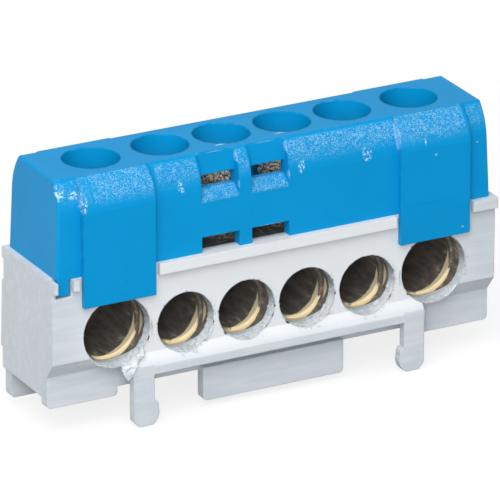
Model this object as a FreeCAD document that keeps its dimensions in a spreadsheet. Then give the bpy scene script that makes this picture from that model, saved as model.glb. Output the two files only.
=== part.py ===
import FreeCAD, Part
import Sketcher
import math
import os

# Neutral terminal bar: a grey snap-in base, a brass bar with six wire bores,
# six terminal screws and a blue cover that snaps over the lot.
# X runs along the row of terminals, wires enter from -Y, screws are turned from +Z.
# Z = 0 is the plane of the snap legs' tips. Millimetres throughout.

os.makedirs("parts", exist_ok=True)
doc = FreeCAD.newDocument("neutral_terminal_bar")


# Driving dimensions
DIMENSIONS = [
    # Terminals
    ("pitch", 7.0, "between the small terminals"),
    ("end_pitch", 7.83, "from a small terminal to the large one beside it"),
    ("small_bore", 5.8, "wire bore of the four small terminals in the brass"),
    ("large_bore", 7.0, "wire bore of the two end terminals in the brass"),
    ("small_entry", 6.4, "wire hole in the plastic wall, small terminals"),
    ("large_entry", 7.5, "wire hole in the plastic wall, end terminals"),
    ("small_axis", 4.25, "small bores above the underside of the bar"),
    ("large_axis", 4.6, "large bores above the underside of the bar"),
    # Brass bar
    ("bar_end", 5.47, "from an end terminal's axis to the end of the bar"),
    ("bar_width", 8.4, "along Y"),
    ("bar_height", 11.0, "along Z"),
    ("bar_seat_gap", 0.1, "play between the bar and the trough on each side"),
    ("entry_depth", 1.2, "depth of the widened mouth in the brass"),
    ("mouth_cone", 0.08, "chamfer from the mouth into the bore"),
    ("bar_edge", 0.4, "chamfer on the upper edges of the bar"),
    ("bar_bevel_width", 1.6, "bevel on the front lower edge of the bar, along Y"),
    ("bar_bevel_height", 2.0, "bevel on the front lower edge of the bar, along Z"),
    # Screws
    ("screw_dia", 5.0, "thread outside diameter"),
    ("thread_play", 0.05, "radial play of the screw in its tapped hole"),
    ("screw_length", 10.0, "overall"),
    ("screw_top_gap", 0.3, "from the screw head up to the roof of the cover"),
    ("screw_slot_width", 1.0, "driver slot"),
    ("screw_slot_depth", 1.8, "driver slot"),
    ("screw_point", 0.7, "chamfer height at the clamping point"),
    ("screw_crown", 0.35, "chamfer at the driven end"),
    # Base, trough and walls
    ("floor_bottom", 5.0, "underside of the trough above the tips of the legs"),
    ("floor", 1.0, "thickness of the trough floor"),
    ("rim_rise", 0.35, "rim of the trough above the top of the bar"),
    ("wall", 1.2, "long walls of the trough at the rim"),
    ("base_overhang", 0.63, "base beyond the cover at each end"),
    ("bevel_top", 8.25, "height where the front wall starts to slope back"),
    ("bevel_bottom", 6.45, "height where that slope meets the skirt"),
    ("rear_step", 0.4, "how far the rear wall steps out below the flaps"),
    ("rear_step_z", 13.6, "height of that step"),
    ("rear_foot", 0.85, "how far the rear wall stands out at its foot"),
    ("rear_foot_z", 6.3, "height of the foot of the rear wall"),
    ("rim_bottom", 4.0, "lower edge of the rim around the underside"),
    ("lip_front", 0.65, "how far the front lip stands out"),
    ("lip_rear", 0.35, "how far the rear lip stands out"),
    ("lip_height", 1.2, "of both lips"),
    # Base, skirts, ledge, tabs and legs
    ("skirt_setback", 1.4, "front skirts behind the front wall"),
    ("skirt_bottom", 3.0, "lower edge of the front skirts"),
    ("skirt_inner", 0.73, "inner end of the skirts, in from the end terminal's axis"),
    ("skirt_wall", 1.2, "thickness of the skirts and tabs"),
    ("rear_skirt_setback", 0.4, "rear skirts in from the foot of the rear wall"),
    ("rear_skirt_bottom", 0.9, "lower edge of the rear skirts"),
    ("skirt_inset", 0.3, "end of the rear skirts in from the end wall"),
    ("ledge_depth", 0.85, "how far the ledge stands out"),
    ("ledge_end", 1.43, "end of the ledge, in from the end terminal's axis"),
    ("ledge_slope_top", 7.7, "top of the slope above the ledge"),
    ("ledge_top", 6.4, "upper edge of the ledge's front"),
    ("ledge_bottom", 5.5, "lower edge of the ledge's front"),
    ("ledge_root", 0.2, "how deep the ledge is rooted in the wall"),
    ("tab_inset", 2.35, "edge of the centre tabs, in from the second terminal's axis"),
    ("tab_setback", 0.65, "front centre tab behind the front wall"),
    ("tab_bottom", 0.75, "lower edge of the centre tabs"),
    ("tab_corner", 0.5, "corner radius of the centre tabs and skirts"),
    ("plate_root", 0.4, "how far the skirts and tabs run up into the rim"),
    ("leg_inset", 1.48, "outer side of a snap leg, in from the end terminal's axis"),
    ("leg_width", 2.35, "of each snap leg"),
    ("leg_thick", 0.95, "of each snap leg"),
    ("leg_root", 0.3, "how far the legs run up past the foot of the rear wall"),
    ("leg_neck_z", 2.75, "where the leg's bulge starts"),
    ("leg_bulge", 0.45, "how far the bulge stands out"),
    ("leg_bulge_z", 1.9, "height of the widest point of the bulge"),
    ("leg_toe_radius", 1.6, "bulge below its widest point"),
    ("leg_heel_radius", 0.7, "bulge above its widest point"),
    ("leg_tip", 1.45, "width of the leg's tip"),
    ("leg_tip_inset", 0.25, "inner side of the tip from the inner side of the leg"),
    ("leg_shoulder", 0.7, "height of the bevel at the tip's outer corner"),
    # Cover, hood
    ("cover_end", 6.64, "from an end terminal's axis to the cover's end at the rim"),
    ("cover_height", 10.25, "from the base rim to the flat top"),
    ("cover_setback", 0.05, "cover behind the walls of the trough"),
    ("end_draft", 0.4, "how far each end face leans in at the top"),
    ("side_draft", 0.13, "how far the sides lean in up to the shoulder"),
    ("shoulder_drop", 3.6, "from the flat top down to the start of the shoulder"),
    ("shoulder_width", 1.37, "from the start of the shoulder in to the flat top"),
    ("shoulder_radius", 6.0, "of the rounded shoulder"),
    ("cover_edge", 0.25, "rounding around the end faces"),
    ("roof", 2.6, "thickness under the flat top"),
    ("cover_wall", 1.25, "thickness of the cover's walls"),
    ("well_play", 0.5, "from the screw out to its well"),
    ("well_ring", 0.45, "from the well out to the narrow part of the cavity"),
    ("cavity_step", 1.2, "height of the slope between the wide and the narrow cavity"),
    ("cavity_step_drop", 2.4, "foot of that slope below the start of the shoulder"),
    # Cover, raised blocks, flaps and finger
    ("block_inner", 4.2, "inner side of a raised block from the end terminal's axis"),
    ("block_outer", 3.93, "outer side of a raised block from the end terminal's axis"),
    ("block_top_reach", 0.2, "upper edge of the blocks beyond the edge of the flat top"),
    ("block_shoulder_drop", 3.4, "from the flat top to the blocks' flat face"),
    ("block_radius", 4.4, "of the blocks' rounded shoulder"),
    ("block_root", 0.5, "how deep the blocks are rooted in the hood"),
    ("flap_wall", 0.57, "thickness of the flaps"),
    ("flap_length", 3.25, "flaps below the rim"),
    ("flap_play", 0.08, "between a flap and the wall behind it"),
    ("flap_side_gap", 0.45, "between a flap and the cut ends of the lip"),
    ("rim_play", 0.15, "between a block and the rim it stands over"),
    ("nib_depth", 0.4, "snap nib inside a flap"),
    ("nib_height", 0.8, "snap nib inside a flap"),
    ("nib_peak", 0.56, "from the nib's lower edge up to its highest point"),
    ("nib_width", 4.0, "snap nib inside a flap"),
    ("nib_rise", 0.65, "from the flap's edge up to the nib"),
    ("nib_play", 0.1, "room around the nib in its pocket"),
    ("finger_width", 1.35, "coding finger at the front left corner"),
    ("finger_length", 1.69, "below the rim"),
    ("finger_thick", 0.6, "coding finger"),
    ("finger_gap", 0.2, "around the finger in its notch"),
    # Cover, windows and notches
    ("window_width", 4.32, "both windows and notches"),
    ("window_web", 1.4, "strip between the two windows"),
    ("window_wall", 0.7, "cover wall at the foot of the recess"),
    ("window_drop", 2.35, "from the flat top to the window's upper edge"),
    ("window_height", 1.4, "of the slot"),
    ("ramp_height", 0.95, "of the ramp below the window"),
    ("ramp_lap", 0.1, "how far the ramp runs out before the cover's side"),
    ("notch_height", 1.65, "notches at the cover's lower edge"),
    # Cutting tools run this far past what they cut
    ("overrun", 1.0, "clear run of a cut beyond the surface it starts from"),
]

sheet = doc.addObject("Spreadsheet::Sheet", "dims")
for row, (alias, number, note) in enumerate(DIMENSIONS, start=1):
    sheet.set("A%d" % row, alias)
    sheet.set("B%d" % row, str(number))
    sheet.set("C%d" % row, note)
    sheet.setAlias("B%d" % row, alias)
doc.recompute()


class Size:
    """A length together with the sheet expression that gives it."""

    def __init__(self, number, text):
        self.number = number
        self.text = text

    def __add__(self, other):
        other = as_size(other)
        return Size(self.number + other.number, "(%s + %s)" % (self.text, other.text))

    def __sub__(self, other):
        other = as_size(other)
        return Size(self.number - other.number, "(%s - %s)" % (self.text, other.text))

    def __mul__(self, factor):
        return Size(self.number * factor, "(%s * %s)" % (self.text, factor))

    def __neg__(self):
        return self * -1

    def __radd__(self, other):
        return as_size(other) + self

    def __rsub__(self, other):
        return as_size(other) - self


def as_size(value):
    return value if isinstance(value, Size) else Size(value, str(value))


class Dims:
    """Named sizes read from the sheet, such as D.pitch."""

    def __getattr__(self, alias):
        return Size(float(getattr(sheet, alias)), "dims." + alias)


D = Dims()


def origin_plane(body, role):
    for feature in body.Origin.OriginFeatures:
        if feature.Role == role:
            return feature
    raise ValueError(role)


def new_body(name):
    body = doc.addObject("PartDesign::Body", name)
    body.Label = name
    return body


def new_sketch(body, plane, name, offset=None):
    sketch = body.newObject("Sketcher::SketchObject", name)
    sketch.AttachmentSupport = [(origin_plane(body, plane), "")]
    sketch.MapMode = "FlatFace"
    if offset is not None:
        sketch.setExpression("AttachmentOffset.Base.z", as_size(offset).text)
    return sketch


def bind(sketch, kind, *args):
    """Adds a dimension whose last argument is a Size and ties it to the sheet."""
    value = as_size(args[-1])
    index = sketch.addConstraint(Sketcher.Constraint(kind, *args[:-1], value.number))
    sketch.setExpression("Constraints[%d]" % index, value.text)


def outline(sketch, points):
    """Closed outline. Each point is (u, v) or (u, v, radius), where a radius makes the
    stretch to the next point an arc: positive bulges to the right of the way it is drawn."""
    count = len(points)
    ends = []
    for i in range(count):
        here, there = points[i], points[(i + 1) % count]
        ax, ay = as_size(here[0]).number, as_size(here[1]).number
        bx, by = as_size(there[0]).number, as_size(there[1]).number
        start = FreeCAD.Vector(ax, ay, 0)
        end = FreeCAD.Vector(bx, by, 0)
        if len(here) == 2:
            geo = sketch.addGeometry(Part.LineSegment(start, end), False)
            ends.append((geo, 1, 2))
            continue
        radius = as_size(here[2]).number
        half = (end - start).Length / 2
        left = FreeCAD.Vector(-(by - ay), bx - ax, 0) / (2 * half)
        rise = math.sqrt(radius * radius - half * half)
        centre = (start + end) / 2 + left * math.copysign(rise, radius)
        a0 = math.atan2(ay - centre.y, ax - centre.x)
        a1 = math.atan2(by - centre.y, bx - centre.x)
        circle = Part.Circle(centre, FreeCAD.Vector(0, 0, 1), abs(radius))
        if radius > 0:
            geo = sketch.addGeometry(Part.ArcOfCircle(circle, a0, a1), False)
            ends.append((geo, 1, 2))
        else:
            geo = sketch.addGeometry(Part.ArcOfCircle(circle, a1, a0), False)
            ends.append((geo, 2, 1))
        bind(sketch, "Radius", geo, here[2] if radius > 0 else -as_size(here[2]))
    for i in range(count):
        geo, _, last = ends[i]
        follower, first, _ = ends[(i + 1) % count]
        sketch.addConstraint(Sketcher.Constraint("Coincident", geo, last, follower, first))
    for i in range(count):
        geo, first, _ = ends[i]
        bind(sketch, "DistanceX", -1, 1, geo, first, points[i][0])
        bind(sketch, "DistanceY", -1, 1, geo, first, points[i][1])


def rectangle(sketch, u0, v0, u1, v1):
    outline(sketch, [(u0, v0), (u1, v0), (u1, v1), (u0, v1)])


def circle(sketch, u, v, diameter):
    at = FreeCAD.Vector(as_size(u).number, as_size(v).number, 0)
    geo = sketch.addGeometry(Part.Circle(at, FreeCAD.Vector(0, 0, 1), diameter.number / 2), False)
    bind(sketch, "DistanceX", -1, 1, geo, 3, u)
    bind(sketch, "DistanceY", -1, 1, geo, 3, v)
    bind(sketch, "Diameter", geo, diameter)


def extrude(body, kind, sketch, name, length, midplane=False, reverse=False):
    """Pad or Pocket of one sketch. A feature that leaves the volume as it was is an error."""
    doc.recompute()
    before = body.Shape.Volume if body.Tip and not body.Shape.isNull() else 0.0
    feature = body.newObject("PartDesign::" + kind, name)
    feature.Profile = sketch
    feature.setExpression("Length", as_size(length).text)
    feature.Midplane = midplane
    feature.Reversed = reverse
    doc.recompute()
    change = body.Shape.Volume - before
    if (kind == "Pad" and change < 1e-6) or (kind == "Pocket" and change > -1e-6):
        raise ValueError("%s changes nothing: %s" % (kind, name))
    return feature


def round_edges(body, name, radius, wanted, kind="Fillet"):
    """Fillet or Chamfer on the edges of the body's last feature that pass the test."""
    base = body.Tip
    names = ["Edge%d" % (i + 1) for i, edge in enumerate(base.Shape.Edges) if wanted(edge)]
    if not names:
        raise ValueError("no edges for " + name)
    feature = body.newObject("PartDesign::" + kind, name)
    feature.Base = (base, names)
    feature.setExpression("Radius" if kind == "Fillet" else "Size", as_size(radius).text)
    doc.recompute()
    if feature.Shape.isNull() or "Invalid" in feature.State:
        raise ValueError("%s failed on %s" % (kind, name))
    return feature


# Heights from the floor of the trough up to the roof of the cover
bar_bottom = D.floor_bottom + D.floor
bar_top = bar_bottom + D.bar_height
base_top = bar_top + D.rim_rise
cover_top = base_top + D.cover_height
roof_under = cover_top - D.roof
screw_top = roof_under - D.screw_top_gap
small_z = bar_bottom + D.small_axis
large_z = bar_bottom + D.large_axis

# The six terminals, left to right: X, bore, entry hole and axis height
second_x = D.pitch * 1.5
end_x = second_x + D.end_pitch
TERMINALS = [
    (-end_x, D.large_bore, D.large_entry, large_z),
    (-second_x, D.small_bore, D.small_entry, small_z),
    (D.pitch * -0.5, D.small_bore, D.small_entry, small_z),
    (D.pitch * 0.5, D.small_bore, D.small_entry, small_z),
    (second_x, D.small_bore, D.small_entry, small_z),
    (end_x, D.large_bore, D.large_entry, large_z),
]

# Lengths along the row, all set out from the end terminals
bar_half = end_x + D.bar_end
cover_half = end_x + D.cover_end
base_half = cover_half + D.base_overhang
block_inner_x = end_x - D.block_inner
block_outer_x = end_x + D.block_outer
block_width = D.block_inner + D.block_outer
block_middle = (block_inner_x + block_outer_x) * 0.5

# Widths across the row, all set out from the bar
bar_side = D.bar_width * 0.5
trough_half = bar_side + D.bar_seat_gap
wall_face = trough_half + D.wall
skirt_face = wall_face - D.skirt_setback
ledge_face = wall_face + D.ledge_depth
rear_foot_face = wall_face + D.rear_foot
rear_skirt_face = rear_foot_face - D.rear_skirt_setback
front_lip_face = wall_face + D.lip_front
rear_lip_face = wall_face + D.lip_rear
cover_side = wall_face - D.cover_setback
shoulder_side = cover_side - D.side_draft
top_side = shoulder_side - D.shoulder_width
flap_inner = wall_face + D.flap_play
block_face = flap_inner + D.flap_wall
well_dia = D.screw_dia + D.well_play * 2
upper_cavity = well_dia * 0.5 + D.well_ring
flap_bottom = base_top - D.flap_length
nib_bottom = flap_bottom + D.nib_rise


# Base: the block that holds the trough
base = new_body("base")
sketch = new_sketch(base, "YZ_Plane", "base_section")
outline(sketch, [
    (-wall_face, base_top),
    (-wall_face, D.bevel_top),
    (-skirt_face, D.bevel_bottom),
    (-skirt_face, D.rim_bottom),
    (rear_skirt_face, D.rim_bottom),
    (rear_skirt_face, D.rear_foot_z),
    (rear_foot_face, D.rear_foot_z),
    (wall_face + D.rear_step, D.rear_step_z),
    (wall_face, D.rear_step_z + D.rear_step),
    (wall_face, base_top),
])
extrude(base, "Pad", sketch, "base_block", base_half * 2, midplane=True)

# Base: hollow under the trough, inside a rim that runs all round
sketch = new_sketch(base, "XY_Plane", "underside_plan", D.rim_bottom)
rectangle(sketch, -base_half + D.skirt_wall, -skirt_face + D.skirt_wall,
          base_half - D.skirt_wall, rear_skirt_face - D.skirt_wall)
extrude(base, "Pocket", sketch, "underside", D.floor_bottom - D.rim_bottom, reverse=True)

# Base: ledge under the small wire holes, with the slope above it
sketch = new_sketch(base, "YZ_Plane", "ledge_section")
outline(sketch, [
    (-wall_face, D.ledge_slope_top),
    (-ledge_face, D.ledge_top),
    (-ledge_face, D.ledge_bottom),
    (-skirt_face + D.ledge_root, D.ledge_bottom),
    (-wall_face + D.ledge_root, D.bevel_top + D.ledge_root),
    (-wall_face, D.bevel_top + D.ledge_root),
])
extrude(base, "Pad", sketch, "ledge", (end_x - D.ledge_end) * 2, midplane=True)

# Base: lips along the front and back of the rim
sketch = new_sketch(base, "YZ_Plane", "lip_section")
lip_bottom = base_top - D.lip_height
rectangle(sketch, -front_lip_face, lip_bottom, -trough_half, base_top)
rectangle(sketch, trough_half, lip_bottom, rear_lip_face, base_top)
extrude(base, "Pad", sketch, "lips", base_half * 2, midplane=True)


def hanging_plates(name, outer_y, inner_y, spans, bottom, corner):
    """Plates that hang from the trough between two Y planes, each with two rounded lower corners."""
    plan = new_sketch(base, "XZ_Plane", name + "_outline", -inner_y)
    top = D.rim_bottom + D.plate_root
    for left, right in spans:
        outline(plan, [
            (left, top),
            (left, bottom + corner, corner),
            (left + corner, bottom),
            (right - corner, bottom, corner),
            (right, bottom + corner),
            (right, top),
        ])
    extrude(base, "Pad", plan, name, inner_y - outer_y)


# Base: skirts at the four corners and the two centre tabs
leg_outer = end_x - D.leg_inset
skirt_inner_x = end_x - D.skirt_inner
front_spans = [(-base_half, -skirt_inner_x), (leg_outer, base_half)]
hanging_plates("front_skirts", -skirt_face, -skirt_face + D.skirt_wall,
               front_spans, D.skirt_bottom, D.tab_corner)
rear_end = base_half - D.skirt_inset
rear_spans = [(-rear_end, -skirt_inner_x), (skirt_inner_x, rear_end)]
hanging_plates("rear_skirts", rear_skirt_face - D.skirt_wall, rear_skirt_face,
               rear_spans, D.rear_skirt_bottom, D.tab_corner)
tab_half = second_x - D.tab_inset
tab_face = wall_face - D.tab_setback
hanging_plates("front_tab", -tab_face, -tab_face + D.skirt_wall,
               [(-tab_half, tab_half)], D.tab_bottom, D.tab_corner)
hanging_plates("rear_tab", rear_skirt_face - D.skirt_wall, rear_skirt_face,
               [(-tab_half, tab_half)], D.tab_bottom, D.tab_corner)

# Base: snap legs, two at the front and two at the rear, with a round bulge on the inner side
leg_top = D.rear_foot_z + D.leg_root
leg_inner = leg_outer - D.leg_width
tip_inner = leg_inner + D.leg_tip_inset
for name, inner_y in (("front_legs", -ledge_face + D.leg_thick), ("rear_legs", rear_foot_face)):
    sketch = new_sketch(base, "XZ_Plane", name + "_outline", -inner_y)
    for side in (-1, 1):
        outline(sketch, [
            (leg_outer * side, leg_top),
            (leg_outer * side, D.leg_shoulder),
            ((tip_inner + D.leg_tip) * side, as_size(0.0)),
            (tip_inner * side, as_size(0.0), D.leg_toe_radius * -side),
            ((leg_inner - D.leg_bulge) * side, D.leg_bulge_z, D.leg_heel_radius * -side),
            (leg_inner * side, D.leg_neck_z),
            (leg_inner * side, leg_top),
        ])
    extrude(base, "Pad", sketch, name, D.leg_thick)

# Base: trough for the brass bar, with the bar's bevel along its front lower edge
sketch = new_sketch(base, "YZ_Plane", "trough_section")
trough_foot = trough_half - D.bar_bevel_width
outline(sketch, [
    (-trough_half, base_top + D.overrun),
    (-trough_half, bar_bottom + D.bar_bevel_height),
    (-trough_foot, bar_bottom),
    (trough_half, bar_bottom),
    (trough_half, base_top + D.overrun),
])
extrude(base, "Pocket", sketch, "trough", (bar_half + D.bar_seat_gap) * 2, midplane=True)

# Base: wire holes through the front wall, drilled low enough to graze the ledge
drill_start = ledge_face + D.overrun
sketch = new_sketch(base, "XZ_Plane", "wire_hole_centres", drill_start)
for x, bore, entry, axis_z in TERMINALS:
    circle(sketch, x, axis_z, entry)
extrude(base, "Pocket", sketch, "wire_holes", drill_start - trough_foot)

# Base: the lips are cut away where the flaps come down
gap_inner = block_inner_x - D.flap_side_gap
gap_outer = block_outer_x + D.flap_side_gap
sketch = new_sketch(base, "XY_Plane", "lip_gap_plan", base_top)
for side in (-1, 1):
    rectangle(sketch, gap_inner * side, -front_lip_face - D.overrun, gap_outer * side, -wall_face)
    rectangle(sketch, gap_inner * side, rear_lip_face + D.overrun, gap_outer * side, wall_face)
extrude(base, "Pocket", sketch, "lip_gaps", D.lip_height)

# Base: notch for the coding finger, through the lip and on down into the wall
finger_inner = -cover_half + D.finger_width
finger_back = cover_side - D.finger_thick
sketch = new_sketch(base, "XY_Plane", "finger_notch_plan", base_top)
rectangle(sketch, -cover_half - D.finger_gap, -front_lip_face - D.overrun,
          finger_inner + D.finger_gap, -finger_back + D.finger_gap)
extrude(base, "Pocket", sketch, "finger_notch", D.finger_length + D.finger_gap)

# Base: shallow pockets under the lips for the snap nibs of the flaps
pocket_half = D.nib_width * 0.5 + D.nib_play
pocket_depth = D.nib_depth + D.nib_play - D.flap_play
for name, plane_y, turned in (("front", -wall_face, False), ("rear", wall_face, True)):
    sketch = new_sketch(base, "XZ_Plane", name + "_nib_pocket_outline", -plane_y)
    for side in (-1, 1):
        rectangle(sketch, block_middle * side - pocket_half, nib_bottom - D.nib_play,
                  block_middle * side + pocket_half, nib_bottom + D.nib_height + D.nib_play)
    extrude(base, "Pocket", sketch, name + "_nib_pockets", pocket_depth, reverse=turned)


# Brass bar, bevelled along its front lower edge
bar = new_body("bar")
sketch = new_sketch(bar, "YZ_Plane", "bar_section")
outline(sketch, [
    (-bar_side + D.bar_bevel_width, bar_bottom),
    (bar_side, bar_bottom),
    (bar_side, bar_top - D.bar_edge),
    (bar_side - D.bar_edge, bar_top),
    (-bar_side + D.bar_edge, bar_top),
    (-bar_side, bar_top - D.bar_edge),
    (-bar_side, bar_bottom + D.bar_bevel_height),
])
extrude(bar, "Pad", sketch, "bar_block", bar_half * 2, midplane=True)

sketch = new_sketch(bar, "XZ_Plane", "bore_centres")
for x, bore, entry, axis_z in TERMINALS:
    circle(sketch, x, axis_z, bore)
extrude(bar, "Pocket", sketch, "wire_bores", D.bar_width + D.overrun * 2, midplane=True)

sketch = new_sketch(bar, "XZ_Plane", "mouth_centres", bar_side)
for x, bore, entry, axis_z in TERMINALS:
    circle(sketch, x, axis_z, entry)
extrude(bar, "Pocket", sketch, "mouths", D.entry_depth)

mouth_y = -(bar_side - D.entry_depth).number
bore_radii = (D.small_bore.number / 2, D.large_bore.number / 2)


def is_mouth_step(edge):
    if not hasattr(edge.Curve, "Radius") or abs(edge.Curve.Center.y - mouth_y) > 1e-4:
        return False
    return min(abs(edge.Curve.Radius - radius) for radius in bore_radii) < 1e-4


round_edges(bar, "mouth_cones", D.mouth_cone, is_mouth_step, "Chamfer")

sketch = new_sketch(bar, "XY_Plane", "tapped_hole_centres", bar_top)
for x, bore, entry, axis_z in TERMINALS:
    circle(sketch, x, as_size(0.0), D.screw_dia + D.thread_play * 2)
extrude(bar, "Pocket", sketch, "tapped_holes", bar_top - small_z)


# Terminal screws, drawn open as they are delivered
screw_radius = D.screw_dia * 0.5
for number, terminal in enumerate(TERMINALS, start=1):
    screw = new_body("screw_%d" % number)
    sketch = new_sketch(screw, "XZ_Plane", "screw_%d_profile" % number)
    foot = screw_top - D.screw_length
    outline(sketch, [
        (as_size(0.0), foot),
        (screw_radius - D.screw_point, foot),
        (screw_radius, foot + D.screw_point),
        (screw_radius, screw_top - D.screw_crown),
        (screw_radius - D.screw_crown, screw_top),
        (as_size(0.0), screw_top),
    ])
    turned = screw.newObject("PartDesign::Revolution", "screw_%d_turned" % number)
    turned.Profile = sketch
    turned.ReferenceAxis = (sketch, ["V_Axis"])
    turned.Angle = 360
    doc.recompute()
    sketch = new_sketch(screw, "XY_Plane", "screw_%d_slot_plan" % number, screw_top)
    rectangle(sketch, -D.screw_dia, -D.screw_slot_width * 0.5, D.screw_dia, D.screw_slot_width * 0.5)
    extrude(screw, "Pocket", sketch, "screw_%d_slot" % number, D.screw_slot_depth)
    screw.setExpression("Placement.Base.x", terminal[0].text)


# Cover: hood with a flat top and rounded shoulders
cover = new_body("cover")
shoulder_z = cover_top - D.shoulder_drop
sketch = new_sketch(cover, "YZ_Plane", "cover_section")
outline(sketch, [
    (-cover_side, base_top),
    (cover_side, base_top),
    (shoulder_side, shoulder_z, D.shoulder_radius),
    (top_side, cover_top),
    (-top_side, cover_top, D.shoulder_radius),
    (-shoulder_side, shoulder_z),
])
extrude(cover, "Pad", sketch, "hood", cover_half * 2, midplane=True)

# Cover: the end faces lean in towards the top
sketch = new_sketch(cover, "XZ_Plane", "end_draft_outline")
for side in (-1, 1):
    outline(sketch, [
        (cover_half * side, base_top),
        ((cover_half + D.overrun) * side, base_top),
        ((cover_half + D.overrun) * side, cover_top + D.overrun),
        ((cover_half - D.end_draft) * side, cover_top + D.overrun),
        ((cover_half - D.end_draft) * side, cover_top),
    ])
extrude(cover, "Pocket", sketch, "end_drafts", cover_side * 4, midplane=True)

# Cover: raised blocks over the end terminals that run down as flaps
block_flat = cover_top - D.block_shoulder_drop
for face, sign in (("front", -1), ("rear", 1)):
    for side, start in (("left", -block_outer_x), ("right", block_inner_x)):
        name = "%s_%s_block" % (face, side)
        sketch = new_sketch(cover, "YZ_Plane", name + "_section", start)
        outline(sketch, [
            ((top_side + D.block_top_reach) * sign, cover_top, D.block_radius * -sign),
            (block_face * sign, block_flat),
            (block_face * sign, flap_bottom),
            (flap_inner * sign, flap_bottom),
            (flap_inner * sign, base_top + D.rim_play),
            ((cover_side - D.block_root) * sign, base_top + D.rim_play),
            ((top_side - D.block_root) * sign, cover_top),
        ])
        extrude(cover, "Pad", sketch, name, block_width)

# Cover: soft edges around both end faces
end_face_top = (cover_half - D.end_draft).number


def is_end_edge(edge):
    spread = edge.BoundBox
    on_end = min(abs(spread.XMin), abs(spread.XMax)) > end_face_top - 1e-4
    return on_end and spread.ZMax > base_top.number + 1e-4


round_edges(cover, "end_edges", D.cover_edge, is_end_edge)

# Cover: a snap nib inside each flap
nib_half = D.nib_width * 0.5
for face, sign in (("front", -1), ("rear", 1)):
    for side, middle in (("left", -block_middle), ("right", block_middle)):
        name = "%s_%s_nib" % (face, side)
        sketch = new_sketch(cover, "YZ_Plane", name + "_section", middle - nib_half)
        root = (flap_inner + D.nib_play) * sign
        outline(sketch, [
            (root, nib_bottom),
            (flap_inner * sign, nib_bottom),
            ((flap_inner - D.nib_depth) * sign, nib_bottom + D.nib_peak),
            (flap_inner * sign, nib_bottom + D.nib_height),
            (root, nib_bottom + D.nib_height),
        ])
        extrude(cover, "Pad", sketch, name, D.nib_width)

# Cover: cavity, narrower beside the screws
sketch = new_sketch(cover, "YZ_Plane", "cavity_section")
wide = cover_side - D.cover_wall
step_z = shoulder_z - D.cavity_step_drop
outline(sketch, [
    (-wide, base_top - D.overrun),
    (wide, base_top - D.overrun),
    (wide, step_z),
    (upper_cavity, step_z + D.cavity_step),
    (upper_cavity, roof_under),
    (-upper_cavity, roof_under),
    (-upper_cavity, step_z + D.cavity_step),
    (-wide, step_z),
])
cavity_half = cover_half - D.end_draft - D.cover_wall
extrude(cover, "Pocket", sketch, "cavity", cavity_half * 2, midplane=True)

# Cover: coding finger at the front left corner
sketch = new_sketch(cover, "XY_Plane", "finger_plan", base_top - D.finger_length)
rectangle(sketch, -cover_half, -cover_side, finger_inner, -finger_back)
extrude(cover, "Pad", sketch, "finger", D.finger_length + D.rim_play)

# Cover: screw wells
sketch = new_sketch(cover, "XY_Plane", "well_centres", cover_top)
for x, bore, entry, axis_z in TERMINALS:
    circle(sketch, x, as_size(0.0), well_dia)
extrude(cover, "Pocket", sketch, "screw_wells", D.roof + D.overrun)

# Cover: two windows beside the third screw, each with a steep recess above and a ramp below,
# and a notch under each at the cover's lower edge
window_top = cover_top - D.window_drop
window_bottom = window_top - D.window_height
recess_foot = upper_cavity + D.window_wall
half_web = D.window_web * 0.5
third_x = D.pitch * -0.5
WINDOW_STARTS = [
    ("left", third_x - half_web - D.window_width),
    ("right", third_x + half_web),
]
for name, start in WINDOW_STARTS:
    sketch = new_sketch(cover, "YZ_Plane", name + "_recess_section", start)
    outline(sketch, [
        (-top_side, cover_top),
        (-recess_foot, window_top),
        (-recess_foot, window_bottom),
        (-shoulder_side - D.ramp_lap, window_bottom - D.ramp_height),
        (-cover_side - D.overrun, window_bottom - D.ramp_height),
        (-cover_side - D.overrun, cover_top),
    ])
    extrude(cover, "Pocket", sketch, name + "_recess", D.window_width, reverse=True)

sketch = new_sketch(cover, "XZ_Plane", "window_outline", cover_side + D.overrun)
for name, start in WINDOW_STARTS:
    rectangle(sketch, start, window_bottom, start + D.window_width, window_top)
    rectangle(sketch, start, base_top, start + D.window_width, base_top + D.notch_height)
extrude(cover, "Pocket", sketch, "windows", cover_side + D.overrun * 1.5 - upper_cavity)


# Check every object, then write one file per piece
doc.recompute()
for item in doc.Objects:
    if "Invalid" in item.State or "Error" in item.State:
        raise ValueError("failed: %s %s" % (item.Name, item.State))
pieces = [item for item in doc.Objects if item.isDerivedFrom("PartDesign::Body")]
for piece in pieces:
    shape = piece.Shape
    if shape.isNull() or not shape.isValid():
        raise ValueError("bad shape: " + piece.Label)
for piece in pieces:
    piece.Shape.exportStep("parts/%s.step" % piece.Label)
    box = piece.Shape.BoundBox
    print("%-8s solids %d  volume %8.2f  x %.2f..%.2f  y %.2f..%.2f  z %.2f..%.2f" % (
        piece.Label, len(piece.Shape.Solids), piece.Shape.Volume,
        box.XMin, box.XMax, box.YMin, box.YMax, box.ZMin, box.ZMax))
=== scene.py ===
import math

import bmesh
import bpy
from mathutils import Matrix, Vector, noise


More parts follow.
